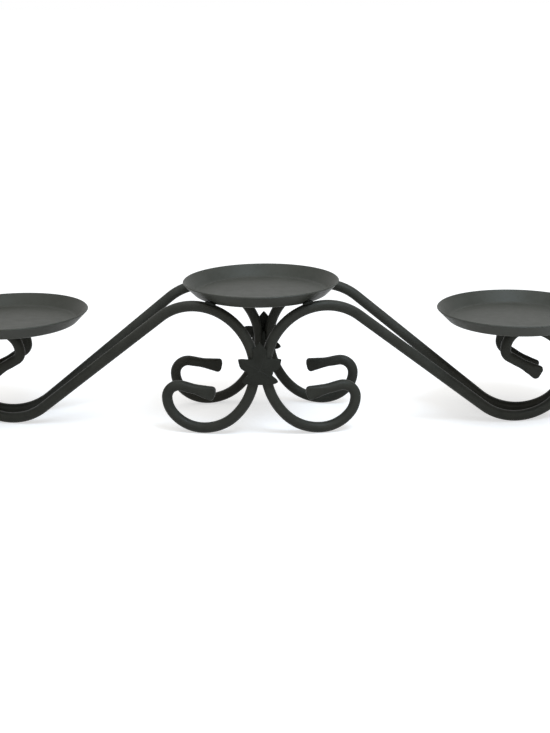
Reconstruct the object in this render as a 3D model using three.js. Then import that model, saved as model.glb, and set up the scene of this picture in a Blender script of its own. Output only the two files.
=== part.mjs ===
// Three-plate centrepiece for pillar candles, in welded round bar and pressed sheet steel.
// Three dished plates stand in a row on four long bars. Each bar is bent in one upright plane:
// a curled foot, a waist where it meets its mirror image, an arch under the middle plate, a
// straight slope and a scroll that carries an outer plate. Both of its ends are hammered flat.
// Millimetres, +Z up, X along the row of plates, the front towards -Y. The origin lies on the
// table, under the centre of the middle plate.

import * as THREE from 'three';

// ---------------------------------------------------------------- driving dimensions

// Plates.
const plateRimRadius = 66.5;      // outer edge of the rim
const plateFloorRadius = 56;      // where floor and wall would meet, on the underside
const plateDepth = 10.6;          // underside of the floor to the outer edge of the rim
const plateSheet = 1.4;
const plateBendRadius = 3;        // inside of the bend between floor and wall
const plateInset = 8;             // an outer plate's axis, inwards of its scroll's crown

// Bars.
const barDiameter = 9;
const waistSpread = 96.2;         // front pair's waist to back pair's waist
const scrollGap = 0.6;            // front bar to back bar, where the scroll reaches out most
const slopeAngle = 38;            // the straight stretch against the table, in degrees

// Bends of a foot, from the waist down: radii of the centre line.
const footInstepRadius = 59;
const footHeelRadius = 41;
const footSoleRadius = 32;
const footToeRadius = 22;
const footCurlRadius = 11;
const footInstepTurn = 45;        // degrees
const footSoleTurn = 50;
const footEndDroop = 12.6;        // the flattened end, below level, in degrees
const footEndLength = 25.8;

// Bends above the waist, up to the outer scroll's end.
const archSideRadius = 53;
const archCrownRadius = 48.5;
const archSideTurn = 50;
const shoulderRadius = 46.5;
const scrollSoleRadius = 49;
const scrollFlankRadius = 37;
const scrollCrownRadius = 38.5;
const scrollInnerRadius = 17.5;
const scrollCurlRadius = 7.5;
const scrollSoleTurn = 30;
const scrollEndDroop = 30.7;
const scrollEndLength = 29.5;

// The hammered ends.
const endWidth = 12.6;            // across the flat, in the bar's plane
const endThickness = 5;
const endFlare = 17;              // length of bar that the hammering spreads
const endFlareCurve = 1.5;        // above 1, the end spreads mostly near its tip
const endRoundness = 0.55;        // 1 is an oval section, and less is a squarer one
const endTip = 3.2;               // the blunt tip, out past the corners of the end
const tipShare = 0.45;            // its width, as a share of the end's

// Leaf ornaments.
const leafHeight = 36;
const leafWidth = 36;
const leafSheet = 1.5;
const leafRise = 25;              // the leaf's tip above the waist

// Weld beads, as radius and half length.
const seatWeldRadius = 1.6;
const seatWeldReach = 5;
const waistWeldRadius = 1.5;
const waistWeldReach = 8;
const leafWeldRadius = 1.2;
const leafWeldReach = 4;

// Welded pieces stay this far apart.
const fitGap = 0.3;

// Fineness of the facets.
const barSides = 12;
const barStep = 8;                // longest step round a bend
const barStepTurn = 15;           // largest turn from one step to the next, in degrees
const endSteps = 4;
const tipSteps = 2;
const plateSides = 48;
const bendSteps = 3;
const beadSides = 12;
const beadRings = 8;
const barTryStep = 1;             // spacing of the points of a bar tried under a plate
const plateTryStep = 0.25;        // spacing of the points of a plate tried over a ball

// ---------------------------------------------------------------- derived sizes

const barRadius = barDiameter / 2;
const waistY = waistSpread / 2;
const waistX = barRadius + fitGap / 2;
const wallAngle = Math.atan2(plateDepth, plateRimRadius - plateFloorRadius);

const paintedSteel = { metalness: 0.35, roughness: 0.55 };
const plateMaterial = new THREE.MeshStandardMaterial({ color: 0x5b5b57, ...paintedSteel });
const barMaterial = new THREE.MeshStandardMaterial({ color: 0x353631, ...paintedSteel });
const leafMaterial = new THREE.MeshStandardMaterial({ color: 0x3a3b36, ...paintedSteel });
const weldMaterial = new THREE.MeshStandardMaterial({ color: 0x2c2d29, ...paintedSteel });

// ---------------------------------------------------------------- a bar's centre line

// Walks along bends and straights in the bar's plane. A leg turns left where its turn is
// positive. Each station holds its place (along, z), its heading in radians and its distance
// from the start, and the last station of a leg that ends at a named place has that mark.
function walk(start, legs) {
  const stations = [start];
  for (const leg of legs) {
    const from = stations[stations.length - 1];
    stations.push(...(leg.radius ? bend(from, leg) : straight(from, leg)));
    stations[stations.length - 1].mark = leg.endsAt;
  }
  return stations;
}

function straight(from, leg) {
  const stations = [];
  const steps = leg.steps ?? 1;
  for (let i = 1; i <= steps; i += 1) {
    const run = (leg.length * i) / steps;
    stations.push({
      along: from.along + Math.cos(from.heading) * run,
      z: from.z + Math.sin(from.heading) * run,
      heading: from.heading,
      distance: from.distance + run,
    });
  }
  return stations;
}

function bend(from, leg) {
  const stations = [];
  const turn = THREE.MathUtils.degToRad(leg.turn);
  const arc = leg.radius * Math.abs(turn);
  const steps = Math.ceil(Math.max(arc / barStep, Math.abs(leg.turn) / barStepTurn));
  const side = Math.sign(turn) * leg.radius;
  for (let i = 1; i <= steps; i += 1) {
    const heading = from.heading + (turn * i) / steps;
    stations.push({
      along: from.along + side * (Math.sin(heading) - Math.sin(from.heading)),
      z: from.z - side * (Math.cos(heading) - Math.cos(from.heading)),
      heading,
      distance: from.distance + (arc * i) / steps,
    });
  }
  return stations;
}

// The straight run of a hammered end up to its corners, and the blunt tip past them.
function endLegs(length) {
  return [
    { length, steps: endSteps },
    { length: endTip, steps: tipSteps },
  ];
}

// The foot, from the waist down and round to its hammered end.
function footLegs() {
  return [
    { radius: footInstepRadius, turn: footInstepTurn },
    { radius: footHeelRadius, turn: 90 - footInstepTurn },
    { radius: footSoleRadius, turn: footSoleTurn },
    { radius: footToeRadius, turn: 90 - footSoleTurn },
    { radius: footCurlRadius, turn: 90 + footEndDroop },
    ...endLegs(footEndLength),
  ];
}

// The slope is as long as it takes for the outer scroll to stand on the table with the feet.
function slopeLength(waistZ) {
  const side = THREE.MathUtils.degToRad(archSideTurn);
  const slope = THREE.MathUtils.degToRad(slopeAngle);
  const crestZ = waistZ + archSideRadius * Math.sin(side) + archCrownRadius * (1 - Math.sin(side));
  const bends = (shoulderRadius + scrollSoleRadius) * (1 - Math.cos(slope));
  return (crestZ - barRadius - bends) / Math.sin(slope);
}

// The rest of the bar, from the waist up, over and out to the other hammered end.
function archLegs(waistZ) {
  return [
    { radius: archSideRadius, turn: -archSideTurn },
    { radius: archCrownRadius, turn: archSideTurn - 90 },
    { radius: shoulderRadius, turn: -slopeAngle },
    { length: slopeLength(waistZ) },
    { radius: scrollSoleRadius, turn: slopeAngle },
    { radius: scrollSoleRadius, turn: scrollSoleTurn },
    { radius: scrollFlankRadius, turn: 90 - scrollSoleTurn },
    { radius: scrollCrownRadius, turn: 90, endsAt: 'crown' },
    { radius: scrollInnerRadius, turn: 90 },
    { radius: scrollCurlRadius, turn: 90 - scrollEndDroop },
    ...endLegs(scrollEndLength),
  ];
}

// One list of stations, from the foot's end to the scroll's end, standing on the table.
function barStations() {
  const waist = { along: 0, z: 0, distance: 0, mark: 'waist' };
  const foot = walk({ ...waist, heading: -Math.PI / 2 }, footLegs());
  const waistZ = barRadius - Math.min(...foot.map((station) => station.z));
  const arch = walk({ ...waist, heading: Math.PI / 2 }, archLegs(waistZ));
  const footLength = foot[foot.length - 1].distance;
  const footFirst = foot.slice(1).reverse().map((station) => ({
    ...station,
    heading: station.heading + Math.PI,
    distance: footLength - station.distance,
  }));
  const archNext = arch.map((station) => ({
    ...station,
    distance: footLength + station.distance,
  }));
  return [...footFirst, ...archNext].map((station) => ({ ...station, z: station.z + waistZ }));
}

const stations = barStations();
const barLength = stations[stations.length - 1].distance;
const waistHeight = stations.find((station) => station.mark === 'waist').z;

// A bar's plane stands at this angle to the row of plates: the front and back bars are far
// apart at the waist and almost meet at the scroll's outermost point.
const barReach = Math.max(...stations.map((station) => station.along));
const splay = Math.asin((waistY - barRadius - scrollGap / 2) / barReach);

// A station's place and directions in space. side is -1 on the left and 1 on the right, and
// face is -1 at the front and 1 at the back.
function placed(station, side, face) {
  const cos = Math.cos(splay);
  const sin = Math.sin(splay);
  const turned = (along, z) => new THREE.Vector3(side * along * cos, -face * along * sin, z);
  const point = turned(station.along, station.z);
  point.x += side * waistX;
  point.y += face * waistY;
  const forward = turned(Math.cos(station.heading), Math.sin(station.heading));
  const inward = turned(-Math.sin(station.heading), Math.cos(station.heading));
  return { point, forward, inward, across: forward.clone().cross(inward) };
}

// ---------------------------------------------------------------- bars

// The bar's section: round, towards either end wider, thinner and squarer, and past the
// corners of the end narrower again.
function sectionAt(distance) {
  const fromTip = Math.min(distance, barLength - distance);
  const fromCorners = Math.max(0, fromTip - endTip);
  const flare = Math.max(0, 1 - fromCorners / endFlare) ** endFlareCurve;
  const pastCorners = Math.max(0, 1 - fromTip / endTip);
  const narrowing = THREE.MathUtils.lerp(tipShare, 1, Math.sqrt(1 - pastCorners ** 2));
  return {
    halfWidth: narrowing * THREE.MathUtils.lerp(barRadius, endWidth / 2, flare),
    halfThickness: THREE.MathUtils.lerp(barRadius, endThickness / 2, flare),
    roundness: THREE.MathUtils.lerp(1, endRoundness, flare),
  };
}

function barGeometry(side, face) {
  const corner = 1 / Math.cos(Math.PI / barSides);
  const positions = [];
  for (const station of stations) {
    const { point, inward, across } = placed(station, side, face);
    const { halfWidth, halfThickness, roundness } = sectionAt(station.distance);
    for (let i = 0; i < barSides; i += 1) {
      const angle = (2 * Math.PI * (i + 0.5)) / barSides;
      const wide = Math.sign(Math.cos(angle)) * Math.abs(Math.cos(angle)) ** roundness;
      const deep = Math.sign(Math.sin(angle)) * Math.abs(Math.sin(angle)) ** roundness;
      const vertex = point.clone();
      vertex.addScaledVector(inward, wide * halfWidth * corner);
      vertex.addScaledVector(across, deep * halfThickness * corner);
      positions.push(vertex.x, vertex.y, vertex.z);
    }
  }
  const first = placed(stations[0], side, face).point;
  const last = placed(stations[stations.length - 1], side, face).point;
  positions.push(...first.toArray(), ...last.toArray());
  const lastRing = (stations.length - 1) * barSides;
  const firstCentre = lastRing + barSides;
  const lastCentre = firstCentre + 1;
  const faces = [];
  for (let i = 0; i < barSides; i += 1) {
    const next = (i + 1) % barSides;
    faces.push(firstCentre, next, i);
    faces.push(lastCentre, lastRing + i, lastRing + next);
    for (let ring = 0; ring < lastRing; ring += barSides) {
      faces.push(ring + i, ring + next, ring + barSides + next);
      faces.push(ring + i, ring + barSides + next, ring + barSides + i);
    }
  }
  const geometry = new THREE.BufferGeometry();
  geometry.setAttribute('position', new THREE.Float32BufferAttribute(positions, 3));
  geometry.setIndex(faces);
  return geometry;
}

// ---------------------------------------------------------------- plates

// Points round the bend between floor and wall, for the side of the sheet that has this
// bend radius. startRadius is where floor and wall would meet in a sharp corner.
function bendPoints(startRadius, floorZ, radius) {
  const centreX = startRadius - radius * Math.tan(wallAngle / 2);
  const points = [];
  for (let i = 0; i <= bendSteps; i += 1) {
    const angle = (wallAngle * i) / bendSteps;
    const x = centreX + radius * Math.sin(angle);
    points.push(new THREE.Vector2(x, floorZ + radius * (1 - Math.cos(angle))));
  }
  return points;
}

// The underside of the sheet, from the axis out to the rim, from z = 0 at the floor.
function plateUnderside() {
  return [
    new THREE.Vector2(0, 0),
    ...bendPoints(plateFloorRadius, 0, plateBendRadius + plateSheet),
    new THREE.Vector2(plateRimRadius, plateDepth),
  ];
}

function plateGeometry() {
  const innerCorner = plateFloorRadius - plateSheet * Math.tan(wallAngle / 2);
  const lip = new THREE.Vector2(
    plateRimRadius - plateSheet * Math.sin(wallAngle),
    plateDepth + plateSheet * Math.cos(wallAngle),
  );
  const profile = [
    ...plateUnderside(),
    lip,
    ...bendPoints(innerCorner, plateSheet, plateBendRadius).reverse(),
    new THREE.Vector2(0, plateSheet),
  ];
  return new THREE.LatheGeometry(profile, plateSides).rotateX(Math.PI / 2);
}

// How high the middle of a ball may be, above a plate's underside, when it touches the plate
// from below at this distance from the plate's axis. It is below the underside, so negative,
// under the floor.
function ballHeightUnder(distance, ballRadius) {
  const profile = plateUnderside();
  let height = Infinity;
  for (let i = 1; i < profile.length; i += 1) {
    const from = profile[i - 1];
    const run = profile[i].clone().sub(from);
    const steps = Math.ceil(run.length() / plateTryStep);
    for (let k = 0; k <= steps; k += 1) {
      const off = distance - (from.x + (run.x * k) / steps);
      const z = from.y + (run.y * k) / steps;
      if (Math.abs(off) < ballRadius) {
        height = Math.min(height, z - Math.sqrt(ballRadius ** 2 - off ** 2));
      }
    }
  }
  return height;
}

// The bar's stations with points between them, for seating the plates.
function closeStations() {
  const close = [];
  for (let i = 1; i < stations.length; i += 1) {
    const from = stations[i - 1];
    const to = stations[i];
    const steps = Math.ceil((to.distance - from.distance) / barTryStep);
    for (let k = 0; k < steps; k += 1) {
      const share = k / steps;
      close.push({
        along: THREE.MathUtils.lerp(from.along, to.along, share),
        z: THREE.MathUtils.lerp(from.z, to.z, share),
        heading: THREE.MathUtils.lerp(from.heading, to.heading, share),
      });
    }
  }
  return close;
}

// Lowers a plate on this axis until it meets the bars. Gives the height of its underside and
// the station that it meets.
function seatOn(axisX) {
  let seat = { z: -Infinity };
  for (const station of closeStations()) {
    const { point } = placed(station, 1, 1);
    const distance = Math.hypot(point.x - axisX, point.y);
    const z = point.z - ballHeightUnder(distance, barRadius + fitGap);
    if (z > seat.z) {
      seat = { axisX, z, station };
    }
  }
  return seat;
}

const crown = stations.find((station) => station.mark === 'crown');
const middleSeat = seatOn(0);
const outerSeat = seatOn(placed(crown, 1, 1).point.x - plateInset);

// ---------------------------------------------------------------- leaf ornaments

// Right half of the leaf, from its tip down: share of the half width, share of the height.
const leafShape = [
  [0, 0],
  [0.19, 0.125],
  [0.31, 0.155],
  [0.28, 0.25],
  [0.34, 0.42],
  [0.6, 0.4],
  [1, 0.39],
  [0.94, 0.54],
  [0.73, 0.7],
  [0.56, 0.77],
  [0.7, 0.86],
  [0.85, 0.94],
  [0.58, 0.99],
  [0.25, 1],
];

function leafGeometry() {
  const right = leafShape.map(([wide, down]) => [(wide * leafWidth) / 2, -down * leafHeight]);
  const left = right.slice(1).reverse().map(([x, y]) => [-x, y]);
  const outline = new THREE.Shape([...right, ...left].map(([x, y]) => new THREE.Vector2(x, y)));
  const settings = { depth: leafSheet, bevelEnabled: false };
  return new THREE.ExtrudeGeometry(outline, settings).rotateX(Math.PI / 2);
}

// The sheet's near side lies against the waist, at the front (-1) or the back (1).
function placeLeaf(leaf, face) {
  const nearY = waistY + barRadius + fitGap;
  leaf.position.set(0, face < 0 ? -nearY : nearY + leafSheet, waistHeight + leafRise);
  return leaf;
}

// ---------------------------------------------------------------- weld beads

function bead(name, centre, direction, radius, reach) {
  const geometry = new THREE.SphereGeometry(1, beadSides, beadRings).scale(radius, reach, radius);
  const mesh = new THREE.Mesh(geometry, weldMaterial);
  mesh.name = name;
  mesh.position.copy(centre);
  mesh.quaternion.setFromUnitVectors(new THREE.Vector3(0, 1, 0), direction.clone().normalize());
  return mesh;
}

// In the groove between a bar and the plate that it carries, on the bar's outer side.
function seatWeldCentre(seat, side, face) {
  const { point, inward, across, forward } = placed(seat.station, side, face);
  const up = inward.z > 0 ? inward : inward.clone().negate();
  const out = across.y * face > 0 ? across : across.clone().negate();
  const reach = barRadius + fitGap + seatWeldRadius;
  const centreAt = (angle) => point.clone()
    .addScaledVector(up, reach * Math.cos(angle))
    .addScaledVector(out, reach * Math.sin(angle));
  const pressesPlate = (centre) => {
    const distance = Math.hypot(centre.x - side * seat.axisX, centre.y);
    return centre.z - seat.z > ballHeightUnder(distance, seatWeldRadius + fitGap);
  };
  let pressing = 0;
  let clear = Math.PI / 2;
  while (clear - pressing > 1e-4) {
    const middle = (pressing + clear) / 2;
    if (pressesPlate(centreAt(middle))) {
      pressing = middle;
    } else {
      clear = middle;
    }
  }
  return { centre: centreAt(clear), forward };
}

// Between the two bars of a pair, on the side that faces the other pair.
function waistWeldCentre(face) {
  const reach = barRadius + fitGap + waistWeldRadius;
  const inset = Math.sqrt(reach ** 2 - waistX ** 2);
  return new THREE.Vector3(0, face * (waistY - inset), waistHeight);
}

// Between the leaf's near side and a bar, on the bar's outer side.
function leafWeldCentre(side, face) {
  const reach = barRadius + fitGap + leafWeldRadius;
  const offset = Math.sqrt(reach ** 2 - (barRadius - leafWeldRadius) ** 2);
  const y = waistY + barRadius - leafWeldRadius;
  return new THREE.Vector3(side * (waistX + offset), face * y, waistHeight);
}

// ---------------------------------------------------------------- assembly

const centrepiece = new THREE.Group();

function addNamed(name, geometry, material) {
  const mesh = new THREE.Mesh(geometry, material);
  mesh.name = name;
  centrepiece.add(mesh);
  return mesh;
}

const sides = [['left', -1], ['right', 1]];
const faces = [['front', -1], ['back', 1]];
const upward = new THREE.Vector3(0, 0, 1);

addNamed('middle_plate', plateGeometry(), plateMaterial).position.set(0, 0, middleSeat.z);
for (const [sideName, side] of sides) {
  const plate = addNamed(`${sideName}_plate`, plateGeometry(), plateMaterial);
  plate.position.set(side * outerSeat.axisX, 0, outerSeat.z);
}

for (const [faceName, face] of faces) {
  placeLeaf(addNamed(`${faceName}_leaf`, leafGeometry(), leafMaterial), face);
  const waist = waistWeldCentre(face);
  centrepiece.add(bead(`${faceName}_waist_weld`, waist, upward, waistWeldRadius, waistWeldReach));
  for (const [sideName, side] of sides) {
    const corner = `${faceName}_${sideName}`;
    addNamed(`${corner}_bar`, barGeometry(side, face), barMaterial);
    const middle = seatWeldCentre(middleSeat, side, face);
    const outer = seatWeldCentre(outerSeat, side, face);
    const leafWeld = leafWeldCentre(side, face);
    centrepiece.add(
      bead(`${corner}_middle_weld`, middle.centre, middle.forward, seatWeldRadius, seatWeldReach),
      bead(`${corner}_outer_weld`, outer.centre, outer.forward, seatWeldRadius, seatWeldReach),
      bead(`${corner}_leaf_weld`, leafWeld, upward, leafWeldRadius, leafWeldReach),
    );
  }
}

export default centrepiece;
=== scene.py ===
# %% [markdown]
# # A candle centrepiece with three plates
# Four long round bars stand on a table as a low arch. Each is bent into a curled foot, an arch and
# a wide scroll, and both of its ends are hammered flat. Three shallow plates lie on the bars, a
# pressed leaf covers the waist at the front and at the back, and everything is welded and painted
# satin black. The CAD frame says where each piece is. Here every piece is modelled again, finer,
# in the same place, and gets its paint.

# %% Load the frame
from math import asin, ceil, cos, degrees, exp, pi, radians, sin, sqrt

import bmesh
import bpy
from mathutils import Matrix, Vector


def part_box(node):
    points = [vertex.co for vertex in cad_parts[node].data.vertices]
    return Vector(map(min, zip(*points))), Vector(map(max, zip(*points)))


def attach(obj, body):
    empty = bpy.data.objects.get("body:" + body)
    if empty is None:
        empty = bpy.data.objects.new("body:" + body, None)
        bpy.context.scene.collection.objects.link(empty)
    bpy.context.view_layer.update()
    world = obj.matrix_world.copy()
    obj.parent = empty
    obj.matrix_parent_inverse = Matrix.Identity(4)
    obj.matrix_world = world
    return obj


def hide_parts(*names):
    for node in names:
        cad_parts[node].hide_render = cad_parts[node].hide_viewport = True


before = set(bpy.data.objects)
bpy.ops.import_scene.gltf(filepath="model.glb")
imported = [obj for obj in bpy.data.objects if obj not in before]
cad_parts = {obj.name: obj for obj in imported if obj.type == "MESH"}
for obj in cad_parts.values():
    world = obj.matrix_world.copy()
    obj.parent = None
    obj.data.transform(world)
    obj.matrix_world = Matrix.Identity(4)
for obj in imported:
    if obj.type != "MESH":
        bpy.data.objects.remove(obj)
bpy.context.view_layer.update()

# %% [markdown]
# ## The camera
# The object was photographed from a little above the table, from the right of its middle, with a
# long lens. The camera's place was worked out from the plates' ellipses and the bars' outline. A
# camera looks down its own -Z, so it is tipped up from straight down, turned to the object and
# rolled by the little that the photograph leans.

# %% Camera
CAMERA_PLACE = (0.04253, -1.04939, 0.35795)
LOOKS_DOWN = radians(16.545)
TURNS_LEFT = radians(1.724)
LEANS = radians(-0.787)
LENS = 82.69
SENSOR = 36

camera_data = bpy.data.cameras.new("camera")
camera_data.sensor_fit = "HORIZONTAL"
camera_data.sensor_width = SENSOR
camera_data.lens = LENS
camera = bpy.data.objects.new("camera", camera_data)
bpy.context.scene.collection.objects.link(camera)
camera.matrix_world = (
    Matrix.Translation(CAMERA_PLACE)
    @ Matrix.Rotation(TURNS_LEFT, 4, "Z")
    @ Matrix.Rotation(pi / 2 - LOOKS_DOWN, 4, "X")
    @ Matrix.Rotation(LEANS, 4, "Z")
)
bpy.context.scene.camera = camera
print("Camera lens:", LENS, "mm, sensor", SENSOR, "mm wide")

# %% [markdown]
# ## The studio
# The photograph has a white background and soft light from above. A very wide sun stands for the
# diffusers over the table, and lights the whole floor evenly. A small cool softbox in front gives
# the plates' walls their bluish reflection, a larger one by the camera lights what faces it, and
# the sky is a plain grey.

# %% Light from above and in front
MIDDLE = Vector((0, 0, 0.08))
BLUISH = (0.64, 0.8, 1.0)
NEUTRAL = (1.0, 1.0, 0.97)
DIFFUSER_WHITE = (1.0, 1.0, 0.98)
DIFFUSER_WIDTH = radians(70)
DIFFUSER_TILT = radians(8)


def lamp(name, kind, power, colour):
    """Makes a lamp that isn't placed yet."""
    data = bpy.data.lights.new(name, kind)
    data.energy = power
    data.color = colour
    light = bpy.data.objects.new(name, data)
    bpy.context.scene.collection.objects.link(light)
    return light


def softbox(name, place, size, power, colour):
    """Hangs a square lamp that points at the middle of the object."""
    light = lamp(name, "AREA", power, colour)
    light.data.size = size
    light.location = place
    aim = MIDDLE - Vector(place)
    light.rotation_euler = aim.to_track_quat("-Z", "Y").to_euler()


softbox("front_softbox", place=(0.32, -0.40, 0.95), size=0.4, power=7.2, colour=BLUISH)
softbox("camera_fill", place=(0.15, -1.7, 0.55), size=0.8, power=2.6, colour=NEUTRAL)
ceiling = lamp("ceiling", "SUN", power=1.45, colour=DIFFUSER_WHITE)
ceiling.data.angle = DIFFUSER_WIDTH
ceiling.rotation_euler = (DIFFUSER_TILT, 0, 0)
bpy.context.scene.view_settings.view_transform = "Standard"

# %% [markdown]
# The background is white to look at, but it mustn't flood the black paint with light. The Light
# Path node tells which ray is asking. A ray from the camera, one that shiny paint mirrors and one
# that has passed through something get the white, and all the others get the plain grey.

# %% Sky and background
SKY_GREY = 0.6
SKY_STRENGTH = 0.4


def seen_or_lit(tree, lit, seen):
    """Gives camera, glossy and transmission rays the shader seen, and all others lit."""
    path = tree.nodes.new("ShaderNodeLightPath")
    is_seen = path.outputs["Is Camera Ray"]
    for kind in ("Is Glossy Ray", "Is Transmission Ray"):
        either = tree.nodes.new("ShaderNodeMath")
        either.operation = "MAXIMUM"
        tree.links.new(is_seen, either.inputs[0])
        tree.links.new(path.outputs[kind], either.inputs[1])
        is_seen = either.outputs[0]
    choice = tree.nodes.new("ShaderNodeMixShader")
    tree.links.new(is_seen, choice.inputs["Fac"])
    tree.links.new(lit.outputs[0], choice.inputs[1])
    tree.links.new(seen.outputs[0], choice.inputs[2])
    return choice


def sky(tree, grey, strength):
    """Makes a background of one grey."""
    background = tree.nodes.new("ShaderNodeBackground")
    background.inputs["Color"].default_value = (grey, grey, grey, 1)
    background.inputs["Strength"].default_value = strength
    return background


world = bpy.data.worlds.new("studio")
bpy.context.scene.world = world
world.use_nodes = True
tree = world.node_tree
tree.nodes.clear()
choice = seen_or_lit(tree, lit=sky(tree, SKY_GREY, SKY_STRENGTH), seen=sky(tree, 1, 1))
output = tree.nodes.new("ShaderNodeOutputWorld")
tree.links.new(choice.outputs[0], output.inputs["Surface"])
print("Background: white where it is seen, grey as light")

# %% [markdown]
# The floor is one large plain sheet. In the same way its material adds some white for the camera
# and for reflections, so that it melts into the background, while the soft shadow under the bars
# stays.

# %% Floor
FLOOR_SIZE = 60
FLOOR_COLOUR = (0.64, 0.63, 0.615, 1)
FLOOR_WHITE = 0.6

bpy.ops.object.select_all(action="DESELECT")
bpy.ops.mesh.primitive_plane_add(size=FLOOR_SIZE, location=(0, 0, 0))
floor = bpy.context.object
floor.name = "floor"
floor_paint = bpy.data.materials.new("floor_white")
floor_paint.use_nodes = True
tree = floor_paint.node_tree
tree.nodes.clear()
matt = tree.nodes.new("ShaderNodeBsdfDiffuse")
matt.inputs["Color"].default_value = FLOOR_COLOUR
white = tree.nodes.new("ShaderNodeEmission")
white.inputs["Strength"].default_value = FLOOR_WHITE
both = tree.nodes.new("ShaderNodeAddShader")
tree.links.new(matt.outputs[0], both.inputs[0])
tree.links.new(white.outputs[0], both.inputs[1])
choice = seen_or_lit(tree, lit=matt, seen=both)
output = tree.nodes.new("ShaderNodeOutputMaterial")
tree.links.new(choice.outputs[0], output.inputs["Surface"])
floor.data.materials.append(floor_paint)
print("Floor:", tuple(floor.dimensions))

# %% [markdown]
# ## Working on one piece
# The next helpers are used for every piece. An operator acts on all that is selected, so the first
# ones select one piece alone, and open it with nothing in it selected. Then pick() selects points,
# edges or faces by a test, such as their place.

# %% Helpers for edit mode
MM = 0.001
NEAR = 0.01 * MM


def select_alone(piece):
    """Selects this piece and no other."""
    bpy.ops.object.select_all(action="DESELECT")
    bpy.context.view_layer.objects.active = piece
    piece.select_set(True)


def open_alone(piece):
    """Puts this piece alone in edit mode, with nothing in it selected."""
    select_alone(piece)
    bpy.ops.object.mode_set(mode="EDIT")
    bpy.ops.mesh.select_all(action="DESELECT")


def close():
    """Leaves edit mode."""
    bpy.ops.object.mode_set(mode="OBJECT")


def pick(piece, passes, kind="VERT"):
    """Selects the points, edges or faces that pass the test, and says how many there are."""
    bpy.ops.mesh.select_mode(type=kind)
    bpy.ops.mesh.select_all(action="DESELECT")
    mesh = bmesh.from_edit_mesh(piece.data)
    parts = {"VERT": mesh.verts, "EDGE": mesh.edges, "FACE": mesh.faces}[kind]
    chosen = [part for part in parts if passes(part)]
    for part in chosen:
        part.select_set(True)
    mesh.select_flush_mode()
    bmesh.update_edit_mesh(piece.data)
    return len(chosen)


def face_outwards():
    """Turns all faces outwards, in edit mode."""
    bpy.ops.mesh.select_all(action="SELECT")
    bpy.ops.mesh.normals_make_consistent(inside=False)


def tidy_normals():
    """Merges doubled points and turns all faces outwards, in edit mode."""
    bpy.ops.mesh.select_all(action="SELECT")
    bpy.ops.mesh.remove_doubles(threshold=NEAR)
    face_outwards()


print("Helpers for edit mode ready")

# %% [markdown]
# What repeats is modelled once and copied, and each copy has a mesh of its own. A finished piece
# keeps no place, turn, scale or modifier of its own: all of them go into its mesh.

# %% Helpers for whole pieces
def settle(piece):
    """Moves the piece's place, turn and scale into its mesh, as a CAD node has them."""
    select_alone(piece)
    bpy.ops.object.transform_apply(location=True, rotation=True, scale=True)


def copy_of(piece, name):
    """Makes a copy with a mesh of its own."""
    copy = piece.copy()
    copy.data = piece.data.copy()
    copy.name = name
    copy.data.name = name
    bpy.context.scene.collection.objects.link(copy)
    return copy


def apply_all(piece):
    """Applies the piece's modifiers, top first."""
    select_alone(piece)
    for modifier in list(piece.modifiers):
        bpy.ops.object.modifier_apply(modifier=modifier.name)


def smooth(piece, up_to):
    """Shades the piece smooth, except over edges sharper than this angle in degrees."""
    select_alone(piece)
    bpy.ops.object.shade_smooth_by_angle(angle=radians(up_to))


def box_of(node):
    """The lowest and highest corners of a CAD node."""
    low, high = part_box(node)
    return Vector(low), Vector(high)


def between(start, end, share):
    """The value at this share of the way from start to end."""
    return start + (end - start) * share


def describe(piece):
    """Prints how many faces the piece has, and its size."""
    size = [round(length / MM, 2) for length in piece.dimensions]
    print(piece.name, "has", len(piece.data.polygons), "faces and is", size, "mm")


print("Helpers for whole pieces ready")

# %% [markdown]
# ## The bars
# A smith bends each bar round jigs, so its centre line is a chain of arcs and straights in one
# upright plane. Spin does the same: it turns the selected ring round a jig's centre and leaves
# the bar's skin behind. The work starts with a ring round the waist, where the bar is upright,
# and goes up over the arch to the scroll, and then down from the waist to the foot.

# %% The bends of a bar
BAR_RADIUS = 4.5 * MM
SLOPE = 38
# Each bend is the radius of its jig in millimetres and its turn in degrees, left positive.
FOOT_BENDS = [(59, 45), (41, 45), (32, 50), (22, 40), (11, 102.6)]
OVER_BENDS = [(53, -50), (48.5, -40), (46.5, -SLOPE)]
SCROLL_BENDS = [(49, SLOPE), (49, 30), (37, 60), (38.5, 90), (17.5, 90), (7.5, 59.3)]


def height_to_level(bends):
    """How far an upright bar goes up or down while two bends turn it level."""
    (first_jig, first_turn), (second_jig, _) = bends
    share = sin(radians(abs(first_turn)))
    return MM * (first_jig * share + second_jig * (1 - share))


waist_z = BAR_RADIUS + height_to_level(FOOT_BENDS[:2])
crest_z = waist_z + height_to_level(OVER_BENDS[:2])
slope_jigs = OVER_BENDS[-1][0] + SCROLL_BENDS[0][0]
drop_in_bends = MM * slope_jigs * (1 - cos(radians(SLOPE)))
slope_length = (crest_z - BAR_RADIUS - drop_in_bends) / sin(radians(SLOPE))
print("Waist", round(waist_z / MM, 2), "mm up, slope", round(slope_length / MM, 2), "mm long")

# %% Bending and drawing out the selected ring
STEP_TURN = radians(6)
STEP_LENGTH = 3 * MM
centre_line = []


def ahead(heading):
    """The direction of a heading, an angle in the bar's plane."""
    return Vector((cos(heading), 0, sin(heading)))


def note_point(place, heading):
    """Notes a point of the centre line, for the pieces that seat on the bar."""
    centre_line.append((place.copy(), heading))


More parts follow.
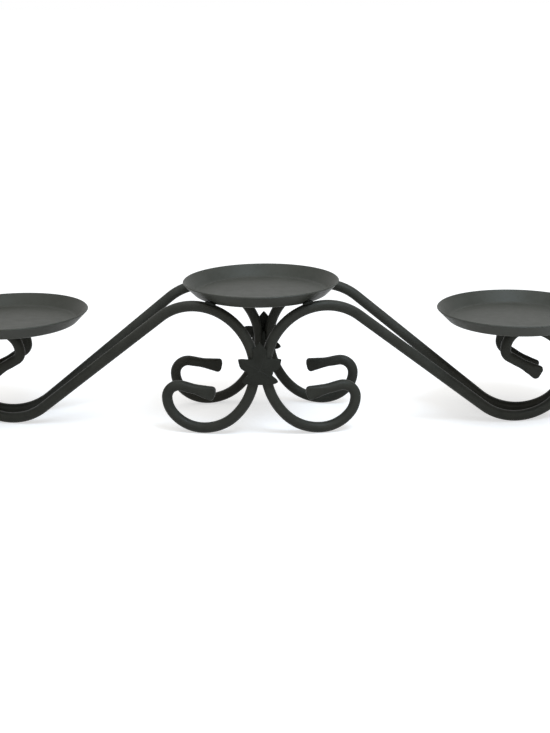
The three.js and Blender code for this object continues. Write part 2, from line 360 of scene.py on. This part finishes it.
def bend_round(place, heading, radius, turn):
    """Spins the selected ring round a jig. A left turn is positive, in degrees."""
    turn = radians(turn)
    left = Vector((-sin(heading), 0, cos(heading)))
    jig = place + left * radius * (1 if turn > 0 else -1)
    steps = max(ceil(abs(turn) / STEP_TURN), ceil(radius * abs(turn) / STEP_LENGTH))
    bpy.ops.mesh.spin(steps=steps, angle=turn, center=jig, axis=(0, 1, 0))
    for step in range(1, steps + 1):
        arm = Matrix.Rotation(-turn * step / steps, 3, "Y") @ (place - jig)
        note_point(jig + arm, heading + turn * step / steps)
    return centre_line[-1]


def bend_all(place, heading, bends):
    """Bends the bar round one jig after another."""
    for radius, turn in bends:
        place, heading = bend_round(place, heading, radius * MM, turn)
    return place, heading


def draw_out(place, heading, length, steps):
    """Extrudes the selected ring straight on."""
    stride = ahead(heading) * length / steps
    for step in range(1, steps + 1):
        bpy.ops.mesh.extrude_region_move(TRANSFORM_OT_translate={"value": stride})
        note_point(place + stride * step, heading)
    return centre_line[-1]


print("Bending helpers ready")

# %% [markdown]
# The bar is 32-sided, because its outline shows close up. Past its last bend each end runs on
# straight, in short steps, so that there are enough rings for the hammer to shape.

# %% From the waist to both ends
BAR_SIDES = 32
SCROLL_END = 29.5 * MM
FOOT_END = 25.8 * MM
END_STEPS = 16
TIP = 3.2 * MM
TIP_STEPS = 5

bpy.ops.object.select_all(action="DESELECT")
bpy.ops.mesh.primitive_circle_add(
    vertices=BAR_SIDES, radius=BAR_RADIUS, location=(0, 0, waist_z))
bar = bpy.context.object
bar.name = "bar"
settle(bar)
open_alone(bar)
waist = Vector((0, 0, waist_z))


def pick_waist():
    """Selects the ring round the waist."""
    return pick(bar, lambda point: abs(point.co.z - waist_z) < NEAR
                and abs(point.co.x) < 2 * BAR_RADIUS)


pick_waist()
place, heading = bend_all(waist, pi / 2, OVER_BENDS)
place, heading = draw_out(place, heading, slope_length, 1)
place, heading = bend_all(place, heading, SCROLL_BENDS)
place, heading = draw_out(place, heading, SCROLL_END, END_STEPS)
scroll_tip, scroll_heading = draw_out(place, heading, TIP, TIP_STEPS)

pick_waist()
place, heading = bend_all(waist, -pi / 2, FOOT_BENDS)
place, heading = draw_out(place, heading, FOOT_END, END_STEPS)
foot_tip, foot_heading = draw_out(place, heading, TIP, TIP_STEPS)
reach = max(point.x for point, _ in centre_line)
print("Rings:", len(centre_line), "reach", round(reach / MM, 2), "mm")
print("Scroll tip", scroll_tip, "foot tip", foot_tip)

# %% [markdown]
# ### The hammered ends
# The smith draws a neck and hammers the end flat on the anvil, so that it gets thinner from front
# to back, spreads in the bar's plane and ends in a blunt, rounded tip. Ring by ring, what stands
# out past the anvil is pushed flat with a scale of zero, and the ring is then spread. The rings
# stand square to the bar, so equal scales along X and Z widen them only across the bar.

# %% Hammering one end
END_HALF_WIDTH = 6.3 * MM
END_HALF_THICKNESS = 2.5 * MM
FLARE = 17 * MM
FLARE_CURVE = 1.5
NECK = 0.94
NECK_PLACE = 15 * MM
NECK_LENGTH = 5 * MM
TIP_WIDTH = 0.4
TIP_THICKNESS = 0.7


def spread_at(from_corners):
    """How far the hammering has gone, from 0 on the round bar to 1 at the corners."""
    return max(0, 1 - from_corners / FLARE) ** FLARE_CURVE


def neck_at(from_corners):
    """How much narrower the neck makes the bar."""
    return 1 - (1 - NECK) * exp(-(((from_corners - NECK_PLACE) / NECK_LENGTH) ** 2))


def hammer_end(tip, heading, straight):
    """Flattens and spreads the rings of one end, from its tip back along the straight."""
    forward = ahead(heading)
    backs = [TIP * step / TIP_STEPS for step in range(TIP_STEPS)]
    backs += [TIP + straight * step / END_STEPS for step in range(END_STEPS)]
    for back in backs:
        centre = tip - forward * back

        def in_ring(point):
            arm = point.co - centre
            return abs(arm.dot(forward)) < NEAR and arm.length < 3 * BAR_RADIUS

        from_corners = max(0, back - TIP)
        past_corners = max(0, 1 - back / TIP)
        rounding = sqrt(1 - past_corners ** 2)
        spread = spread_at(from_corners)
        neck = neck_at(from_corners)
        anvil = between(BAR_RADIUS, END_HALF_THICKNESS, spread)
        for face in (-1, 1):
            if pick(bar, lambda point: in_ring(point) and face * point.co.y > anvil + NEAR):
                bpy.ops.transform.resize(value=(1, 0, 1), center_override=(0, face * anvil, 0))
        pick(bar, in_ring)
        width = between(BAR_RADIUS, END_HALF_WIDTH, spread)
        wide = neck * between(TIP_WIDTH, 1, rounding) * width / BAR_RADIUS
        thin = neck * between(TIP_THICKNESS, 1, rounding)
        bpy.ops.transform.resize(value=(wide, thin, wide), center_override=centre)


ENDS = (
    (scroll_tip, scroll_heading, SCROLL_END),
    (foot_tip, foot_heading, FOOT_END),
)
for tip, heading, straight in ENDS:
    hammer_end(tip, heading, straight)
print("Both ends hammered to", 2 * END_HALF_WIDTH / MM, "mm across")

# %% [markdown]
# Each tip is closed with a face, and that face's edge is rounded over. The hammer leaves small
# dents, so the points of the flats are moved a little at random, always by the same seed.

# %% Closing and denting the ends
TIP_ROUNDING = 0.5 * MM
DENT = 0.08 * MM
DENT_SEEDS = (3, 8)

for (tip, heading, _), seed in zip(ENDS, DENT_SEEDS):
    forward = ahead(heading)
    at_tip = pick(bar, lambda point: (point.co - tip).length < 2 * BAR_RADIUS
                  and abs((point.co - tip).dot(forward)) < NEAR)
    bpy.ops.mesh.edge_face_add()
    bpy.ops.mesh.bevel(offset=TIP_ROUNDING, segments=3, affect="EDGES")
    dented = pick(bar, lambda point: 0 <= (tip - point.co).dot(forward) < TIP + FLARE
                  and (point.co - tip).length < TIP + FLARE)
    bpy.ops.transform.vertex_random(offset=DENT, uniform=0.3, normal=0.5, seed=seed)
    print("Tip of", at_tip, "points closed,", dented, "points dented")
tidy_normals()
close()
describe(bar)

# %% [markdown]
# ### Four bars
# The planes of the bars aren't parallel. At the waist the front pair stands about 96 mm in front
# of the back pair, and the scrolls almost meet at their outermost points, which fixes how far
# each bar is turned. The one bar is copied to the four corners. A mirrored copy is inside out
# until its normals are made consistent again.

# %% Standing the bars up
WAIST_Y = 48.1 * MM
WAIST_X = 4.65 * MM
SCROLL_GAP = 0.6 * MM
SIDES = (("left", -1), ("right", 1))
FACES = (("front", -1), ("back", 1))
splay = asin((WAIST_Y - BAR_RADIUS - SCROLL_GAP / 2) / reach)
bars = []


def stand(point, side, face):
    """Where a point of the bar's plane stands in a corner of the object."""
    return Vector((
        side * (WAIST_X + point.x * cos(splay) + point.y * sin(splay)),
        face * (WAIST_Y - point.x * sin(splay) + point.y * cos(splay)),
        point.z,
    ))


for face_name, face in FACES:
    for side_name, side in SIDES:
        copy = copy_of(bar, f"{face_name}_{side_name}_forged_bar")
        copy.scale = (side, face, 1)
        copy.rotation_euler = (0, 0, -side * face * splay)
        copy.location = (side * WAIST_X, face * WAIST_Y, 0)
        settle(copy)
        open_alone(copy)
        tidy_normals()
        close()
        smooth(copy, up_to=45)
        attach(copy, "root")
        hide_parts(f"{face_name}_{side_name}_bar")
        bars.append(copy)
bpy.data.objects.remove(bar)
print("Bars turned by", round(degrees(splay), 2), "degrees:", [piece.name for piece in bars])

# %% [markdown]
# ## The plates
# A plate is pressed from sheet: a flat floor, a soft bend and a sloped wall that ends in a cut
# rim. The underside is drawn first, as a disc whose edge is extruded up and out. The edge between
# floor and wall is bevelled into the bend. Two rings are inset in the floor, so that the smooth
# shading of the bend ends there and the rest of the floor looks level.

# %% The underside of a plate
PLATE_SIDES = 128
RIM_RADIUS = 66.5 * MM
CORNER_RADIUS = 56 * MM
PLATE_DEPTH = 10.6 * MM
WALL_RINGS = (0.2, 0.9, 0.96, 1)
FLOOR_BEND = 2 * MM
FLOOR_RINGS = (1.5 * MM, 20 * MM)

bpy.ops.object.select_all(action="DESELECT")
bpy.ops.mesh.primitive_circle_add(vertices=PLATE_SIDES, radius=CORNER_RADIUS, fill_type="NGON")
plate = bpy.context.object
plate.name = "plate"
open_alone(plate)
pick(plate, lambda edge: True, "EDGE")
radius, height = CORNER_RADIUS, 0
for share in WALL_RINGS:
    next_radius = between(CORNER_RADIUS, RIM_RADIUS, share)
    rise = PLATE_DEPTH * share - height
    bpy.ops.mesh.extrude_edges_move(TRANSFORM_OT_translate={"value": (0, 0, rise)})
    wider = next_radius / radius
    bpy.ops.transform.resize(value=(wider, wider, 1), center_override=(0, 0, 0))
    radius, height = next_radius, height + rise
pick(plate, lambda edge: all(point.co.z < NEAR for point in edge.verts), "EDGE")
bpy.ops.mesh.bevel(offset=FLOOR_BEND, segments=6, affect="EDGES")
pick(plate, lambda face: len(face.verts) > 4, "FACE")
for ring_width in FLOOR_RINGS:
    bpy.ops.mesh.inset(thickness=ring_width)
print("Underside of", len(bmesh.from_edit_mesh(plate.data).faces), "faces")

# %% [markdown]
# Solidify gives the sheet its thickness, square to the wall, which is how a cut sheet looks at the
# rim. It grows towards the side that the faces point to. An open shell has no outside, so the
# floor decides: where it faces down, all faces are flipped. A small bevel eases the cut edge.

# %% The thickness of a plate
PLATE_SHEET = 1.4 * MM
CUT_ANGLE = radians(60)


def ease_edges(piece, width, steps):
    """Bevels the sharp edges of a cut sheet."""
    edge = piece.modifiers.new("cut_edge", "BEVEL")
    edge.width = width
    edge.segments = steps
    edge.angle_limit = CUT_ANGLE


tidy_normals()
floor_face = max(bmesh.from_edit_mesh(plate.data).faces, key=lambda face: face.calc_area())
if floor_face.normal.z < 0:
    bpy.ops.mesh.flip_normals()
close()
sheet = plate.modifiers.new("sheet", "SOLIDIFY")
sheet.thickness = PLATE_SHEET
sheet.offset = 1
sheet.use_even_offset = True
ease_edges(plate, width=0.3 * MM, steps=3)
apply_all(plate)
open_alone(plate)
tidy_normals()
close()
describe(plate)

# %% [markdown]
# The three plates come from the same die. Each copy goes where its CAD node is, so its floor lies
# on the bars.

# %% Laying the three plates on the bars
plates = []
for node in ("left_plate", "middle_plate", "right_plate"):
    low, high = box_of(node)
    copy = copy_of(plate, node.replace("plate", "pressed_plate"))
    copy.location = ((low.x + high.x) / 2, (low.y + high.y) / 2, low.z)
    settle(copy)
    smooth(copy, up_to=40)
    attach(copy, "root")
    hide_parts(node)
    plates.append(copy)
    print(copy.name, "floor", round(low.z / MM, 2), "mm up")
bpy.data.objects.remove(plate)

# %% [markdown]
# ## The leaves
# Each leaf is a small pressing with five lobes: one up, two at the sides and two lower ones. A
# circle with as many points as the outline has is pulled into the outline, point by point. Its
# edge is then extruded inwards in rings towards the hub, where the veins meet, so that a row of
# edges runs from the hub to every point. The veins are simply some of these rows, strong ones to
# the lobes' tips and faint ones between them.

# %% Outline of a leaf
HUB = (0, 58)
# Each point is its place across and up, in millimetres, and how strong its vein is.
HALF_LEAF = [
    (0, 82.4, 1), (2.0, 80.2, 0), (4.1, 77.4, 0), (5.7, 76.3, 0.5), (5.0, 74.8, 0), (5.1, 72.8, 0),
    (5.6, 70.2, 0), (6.2, 67.8, 0), (8.6, 68.0, 0), (12.0, 68.4, 0), (15.2, 68.6, 0),
    (17.8, 68.0, 1), (17.4, 66.0, 0), (17.0, 63.4, 0), (16.2, 61.0, 0), (14.9, 59.6, 0),
    (13.1, 58.5, 0.5), (11.2, 57.7, 0), (9.3, 55.7, 0), (10.4, 53.9, 0), (12.5, 52.3, 0),
    (14.2, 50.5, 0), (14.9, 48.6, 1), (12.8, 47.2, 0), (10.6, 46.7, 0), (8.4, 46.9, 0.3),
    (6.4, 46.5, 0), (3.4, 46.1, 0), (0, 46.3, 0.6),
]
OUTLINE = HALF_LEAF + [(-x, z, vein) for x, z, vein in HALF_LEAF[-2:0:-1]]
print("Leaf outline of", len(OUTLINE), "points")

# %% Pulling a circle into the outline
RINGS = (0.84, 0.64, 0.42, 0.2)


def on_sheet(x, z):
    """A point of the flat sheet, from millimetres across and up."""
    return Vector((x * MM, 0, z * MM))


bpy.ops.object.select_all(action="DESELECT")
bpy.ops.mesh.primitive_circle_add(vertices=len(OUTLINE), radius=10 * MM, rotation=(pi / 2, 0, 0))
leaf = bpy.context.object
leaf.name = "leaf"
settle(leaf)
open_alone(leaf)
for i, (x, z, _) in enumerate(OUTLINE):
    pick(leaf, lambda point: point.index == i)
    points = bmesh.from_edit_mesh(leaf.data).verts
    points.ensure_lookup_table()
    bpy.ops.transform.translate(value=on_sheet(x, z) - points[i].co)
pick(leaf, lambda edge: True, "EDGE")
hub = on_sheet(*HUB)
share = 1
for ring in RINGS:
    bpy.ops.mesh.extrude_edges_move()
    bpy.ops.transform.resize(value=(ring / share,) * 3, center_override=hub)
    share = ring
bpy.ops.mesh.extrude_edges_move()
bpy.ops.mesh.merge(type="CENTER")
tidy_normals()
print("Leaf sheet of", len(bmesh.from_edit_mesh(leaf.data).faces), "faces")

# %% [markdown]
# The die raises the veins and cups the lobes. Every vein's row of points is lifted towards the
# viewer, less and less towards its end, and the outline is bent back a little where it is far from
# the hub.

# %% Pressing the relief
HUB_LIFT = 0.5
VEIN_END_LIFT = 0.1
ROW_WIDTH = radians(0.6)
CUP_START = 9
CUP_LENGTH = 12
CUP_DEPTH = 0.9


def flat(point):
    """Where a point of the leaf was before the die lifted it."""
    return Vector((point.co.x, 0, point.co.z))


def on_vein(point, tip, ring):
    """Whether a point lies on the row from the hub to this tip, where it crosses this ring."""
    arm = flat(point) - hub
    at_ring = abs(arm.length - ring * (tip - hub).length) < NEAR
    return at_ring and arm.angle(tip - hub) < ROW_WIDTH


for x, z, vein in OUTLINE:
    if vein > 0:
        for ring in RINGS + (1,):
            pick(leaf, lambda point: on_vein(point, on_sheet(x, z), ring))
            lift = vein * between(HUB_LIFT, VEIN_END_LIFT, ring) * MM
            bpy.ops.transform.translate(value=(0, -lift, 0))
pick(leaf, lambda point: (flat(point) - hub).length < NEAR)
bpy.ops.transform.translate(value=(0, -HUB_LIFT * MM, 0))
for x, z, _ in OUTLINE:
    edge_point = on_sheet(x, z)
    from_hub = (edge_point - hub).length / MM
    away = min(1, max(0, (from_hub - CUP_START) / CUP_LENGTH))
    pick(leaf, lambda point: (flat(point) - edge_point).length < NEAR)
    bpy.ops.transform.translate(value=(0, CUP_DEPTH * away * MM, 0))
print("Relief pressed, veins up to", HUB_LIFT, "mm high")

# %% [markdown]
# Subdivision rounds the relief. It would round the outline too, so the outline's edges and the
# lobes' tips are creased. The sheet then gets its thickness to both sides, and its cut edge is
# eased.

# %% Rounding the leaf and giving it its thickness
LEAF_SHEET = 1.3 * MM


def round_off(piece):
    """Subdivides the piece twice, the same in a render."""
    rounder = piece.modifiers.new("rounder", "SUBSURF")
    rounder.levels = 2
    rounder.render_levels = 2


pick(leaf, lambda edge: edge.is_boundary, "EDGE")
bpy.ops.transform.edge_crease(value=0.75)
for x, z, vein in OUTLINE:
    if vein == 1:
        pick(leaf, lambda point: (flat(point) - on_sheet(x, z)).length < NEAR)
        bpy.ops.transform.vert_crease(value=0.9)
close()
round_off(leaf)
sheet = leaf.modifiers.new("sheet", "SOLIDIFY")
sheet.thickness = LEAF_SHEET
sheet.offset = 0
ease_edges(leaf, width=0.25 * MM, steps=2)
apply_all(leaf)
describe(leaf)

# %% [markdown]
# The back leaf is the front one mirrored. The copies aren't merged again: the eased edge has
# points that are closer together than the merging distance, and merging them would open it.

# %% Leaves at the front and at the back
leaves = []
for face_name, face in FACES:
    low, high = box_of(f"{face_name}_leaf")
    copy = copy_of(leaf, f"{face_name}_pressed_leaf")
    copy.scale = (1, -face, 1)
    copy.location = (0, (low.y + high.y) / 2, 0)
    settle(copy)
    open_alone(copy)
    face_outwards()
    close()
    smooth(copy, up_to=50)
    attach(copy, "root")
    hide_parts(f"{face_name}_leaf")
    leaves.append(copy)
    print(copy.name, "at y", round(copy.data.vertices[0].co.y / MM, 1), "mm")
bpy.data.objects.remove(leaf)

# %% [markdown]
# ## The welds
# A run of weld lies in the groove between two pieces as a row of overlapping scales, because the
# metal freezes in steps. A short tube is drawn out of a small circle, fatter and thinner by turns,
# closed at both ends, roughened at random and rounded by subdivision.

# %% One run of weld
RUN_SIDES = 10
RUN_END = 0.45
# The widths of the rings along one scale, as shares of the run's own.
SCALE_SHAPE = (0.84, 1.0, 0.97, 0.9)
RUN_ROUGHNESS = 0.12


def weld_run(name, radius, half_length, scales, seed):
    """Makes a run of weld along Z, round the origin."""
    start = (0, 0, -half_length)
    bpy.ops.object.select_all(action="DESELECT")
    bpy.ops.mesh.primitive_circle_add(vertices=RUN_SIDES, radius=radius, location=start)
    run = bpy.context.object
    run.name = name
    settle(run)
    open_alone(run)
    pick(run, lambda point: True)
    width = RUN_END
    bpy.ops.transform.resize(value=(width, width, 1), center_override=start)
    bpy.ops.mesh.edge_face_add()
    rings = len(SCALE_SHAPE) * scales
    stride = (0, 0, 2 * half_length / rings)
    for ring in range(1, rings + 1):
        bpy.ops.mesh.extrude_region_move(TRANSFORM_OT_translate={"value": stride})
        along = 2 * ring / rings - 1
        taper = max(RUN_END, sqrt(1 - abs(along) ** 3))
        wanted = SCALE_SHAPE[ring % len(SCALE_SHAPE)] * taper
        wider = wanted / width
        centre = (0, 0, along * half_length)
        bpy.ops.transform.resize(value=(wider, wider, 1), center_override=centre)
        width = wanted
    pick(run, lambda point: True)
    bpy.ops.transform.vertex_random(
        offset=RUN_ROUGHNESS * radius, uniform=0.5, normal=0, seed=seed)
    tidy_normals()
    close()
    round_off(run)
    apply_all(run)
    smooth(run, up_to=60)
    return run


print("Weld runs are drawn out of", RUN_SIDES, "points")

# %% Laying a run of weld where its CAD node is
UP = Vector((0, 0, 1))
welds = []


def lay_weld(node, direction, shape, seed):
    """Makes a run of weld and lays it along this direction, in its CAD node's place."""
    run = weld_run(f"{node}_run", *shape, seed)
    low, high = box_of(node)
    run.rotation_euler = UP.rotation_difference(direction).to_euler()
    run.location = (low + high) / 2
    settle(run)
    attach(run, "root")
    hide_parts(node)
    welds.append(run)


print("Weld helpers ready")

# %% [markdown]
# At the waist one run joins the two bars of a pair, and two short ones behind the leaf hold it to
# them. All three are upright, as the bars are there.

# %% Welds at the waist and behind the leaves
# The shape of a run is its radius, half its length and its number of scales.
WAIST_RUN = (1.9 * MM, 8.5 * MM, 7)
LEAF_RUN = (1.6 * MM, 4.4 * MM, 4)

for face_name, face in FACES:
    lay_weld(f"{face_name}_waist_weld", UP, WAIST_RUN, seed=20 + face)
    for side_name, side in SIDES:
        node = f"{face_name}_{side_name}_leaf_weld"
        lay_weld(node, UP, LEAF_RUN, seed=31 + face + 3 * side)
print("Runs of weld so far:", len(welds))

# %% [markdown]
# Under the plates each run lies along a bar, where the bar touches the plate. The centre line,
# noted while the bar was bent, tells which way the bar runs there.

# %% Welds under the plates
PLATE_RUN = (1.5 * MM, 4.6 * MM, 5)


def bar_direction(place, side, face):
    """Which way the bar of this corner runs, where it passes nearest to this place."""
    point, heading = min(
        centre_line, key=lambda item: (stand(item[0], side, face) - place).length)
    return stand(point + ahead(heading), side, face) - stand(point, side, face)


for plate_name in ("middle", "outer"):
    for face_name, face in FACES:
        for side_name, side in SIDES:
            node = f"{face_name}_{side_name}_{plate_name}_weld"
            low, high = box_of(node)
            direction = bar_direction((low + high) / 2, side, face)
            lay_weld(node, direction, PLATE_RUN, seed=47 + face + 3 * side)
print("Runs of weld:", len(welds))

# %% [markdown]
# ## The paint
# Everything has one coat of satin black paint with a faint warm grey cast. Close up it is
# slightly mottled, with the fine orange peel of sprayed paint, duller and shinier patches, and a
# paler line where the paint is thin over an edge. Those edges are marked on the mesh, as an
# attribute that the paint reads.

# %% Marking the edges where paint is thin
def mark_thin_edges(piece, angle):
    """Writes an attribute that is 1 at points on outer edges sharper than this angle."""
    mesh = bmesh.new()
    mesh.from_mesh(piece.data)
    layer = mesh.verts.layers.float.new("thin_paint")
    count = 0
    for point in mesh.verts:
        sharp = any(
            len(edge.link_faces) == 2 and edge.calc_face_angle_signed() > radians(angle)
            for edge in point.link_edges)
        point[layer] = 1.0 if sharp else 0.0
        count += sharp
    mesh.to_mesh(piece.data)
    mesh.free()
    return count


for pieces, thin_from in ((plates, 20), (bars, 50), (leaves, 30), (welds, 60)):
    for piece in pieces:
        print(piece.name, "points on thin paint:", mark_thin_edges(piece, thin_from))

# %% [markdown]
# The patterns are noise on Object coordinates, so they hold still on every piece. A coarse one
# mottles the colour and the gloss, a very fine one is the orange peel, and a third one is the
# shallow unevenness of the metal below. What is the same all over is set on the shader's own
# sockets.

# %% Noise and bump
def noise(tree, where, scale, detail, roughness=0.5):
    """Makes a noise pattern on these coordinates."""
    pattern = tree.nodes.new("ShaderNodeTexNoise")
    pattern.inputs["Scale"].default_value = scale
    pattern.inputs["Detail"].default_value = detail
    pattern.inputs["Roughness"].default_value = roughness
    tree.links.new(where, pattern.inputs["Vector"])
    return pattern.outputs["Fac"]


def bump(tree, height, strength, distance):
    """Makes a bump as high as the distance where the pattern is 1."""
    relief = tree.nodes.new("ShaderNodeBump")
    relief.inputs["Strength"].default_value = strength
    relief.inputs["Distance"].default_value = distance
    tree.links.new(height, relief.inputs["Height"])
    return relief


print("Pattern helpers ready")

# %% A satin black paint
PATCH_SCALE = 90
SPECK_SCALE = 1400
PATCH_LOW = 0.3
COLOUR_HIGH = 0.72
GLOSS_HIGH = 0.7
DULLER = 0.07
SHINIER = 0.05
PEEL_DEPTH = 0.05 * MM
DENT_DEPTH = 0.4 * MM
THIN_PAINT = (0.055, 0.054, 0.049, 1)


def satin_black(name, dark, light, shine, roughness, peel, dents, dent_scale):
    """Mixes a mottled satin paint between two colours, with orange peel and shallow dents."""
    paint = bpy.data.materials.new(name)
    paint.use_nodes = True
    tree = paint.node_tree
    nodes, links = tree.nodes, tree.links
    shader = nodes["Principled BSDF"]
    shader.inputs["IOR"].default_value = 1.5
    shader.inputs["Specular IOR Level"].default_value = shine
    shader.inputs["Specular Tint"].default_value = (1, 1, 0.93, 1)
    where = nodes.new("ShaderNodeTexCoord").outputs["Object"]
    patches = noise(tree, where, PATCH_SCALE, detail=5, roughness=0.6)
    specks = noise(tree, where, SPECK_SCALE, detail=3)
    hammering = noise(tree, where, dent_scale, detail=2)

    colours = nodes.new("ShaderNodeValToRGB")
    low, high = colours.color_ramp.elements
    low.position, low.color = PATCH_LOW, (*dark, 1)
    high.position, high.color = COLOUR_HIGH, (*light, 1)
    links.new(patches, colours.inputs["Fac"])

    thin = nodes.new("ShaderNodeAttribute")
    thin.attribute_name = "thin_paint"
    broken = nodes.new("ShaderNodeMath")
    broken.operation = "MULTIPLY"
    links.new(thin.outputs["Fac"], broken.inputs[0])
    links.new(specks, broken.inputs[1])
    worn = nodes.new("ShaderNodeMix")
    worn.data_type = "RGBA"
    worn.inputs["B"].default_value = THIN_PAINT
    links.new(broken.outputs[0], worn.inputs["Factor"])
    links.new(colours.outputs["Color"], worn.inputs["A"])
    links.new(worn.outputs["Result"], shader.inputs["Base Color"])

    gloss = nodes.new("ShaderNodeMapRange")
    gloss.inputs["From Min"].default_value = PATCH_LOW
    gloss.inputs["From Max"].default_value = GLOSS_HIGH
    gloss.inputs["To Min"].default_value = roughness - SHINIER
    gloss.inputs["To Max"].default_value = roughness + DULLER
    links.new(patches, gloss.inputs["Value"])
    links.new(gloss.outputs["Result"], shader.inputs["Roughness"])

    orange_peel = bump(tree, specks, peel, PEEL_DEPTH)
    shallow = bump(tree, hammering, dents, DENT_DEPTH)
    links.new(orange_peel.outputs["Normal"], shallow.inputs["Normal"])
    links.new(shallow.outputs["Normal"], shader.inputs["Normal"])
    print(name, "has", len(nodes), "nodes")
    return paint


# %% [markdown]
# The four finishes are the same paint on different metal, and their colours also carry painted
# light and shade. On the smooth sheet of the plates it is glossiest, and palest as painted light
# on floors and walls that face the light from above. On the hammered bars and the leaves it is
# darker and more uneven; the leaves, which face the front among the bars, are darker partly in
# their own paint and partly as painted shade. On the rough welds it is dullest, and darkest as
# painted shade in the grooves where the welds lie.

# %% The four finishes
# The plates' paler colour is painted light on their floors and walls that face up.
plate_paint = satin_black(
    "plate_satin_black", dark=(0.035, 0.0354, 0.0284), light=(0.047, 0.0474, 0.039),
    shine=0.155, roughness=0.43, peel=0.5, dents=0.05, dent_scale=60)
bar_paint = satin_black(
    "bar_satin_black", dark=(0.0228, 0.0229, 0.0186), light=(0.0353, 0.0353, 0.0288),
    shine=0.13, roughness=0.48, peel=0.7, dents=0.22, dent_scale=160)
# The leaves' darker colour is partly their own paint and partly painted shade.
leaf_paint = satin_black(
    "leaf_satin_black", dark=(0.0157, 0.0162, 0.013), light=(0.0249, 0.0252, 0.0208),
    shine=0.10, roughness=0.5, peel=0.7, dents=0.2, dent_scale=220)
# The welds' darkest colour is painted shade in the grooves between the pieces.
weld_paint = satin_black(
    "weld_satin_black", dark=(0.0106, 0.0113, 0.0093), light=(0.02, 0.0206, 0.0173),
    shine=0.10, roughness=0.6, peel=1.0, dents=0.5, dent_scale=600)

# %% Painting the pieces
for paint, painted in (
    (plate_paint, plates),
    (bar_paint, bars),
    (leaf_paint, leaves),
    (weld_paint, welds),
):
    for piece in painted:
        piece.data.materials.clear()
        piece.data.materials.append(paint)
    print(paint.name, "on", len(painted), "pieces")
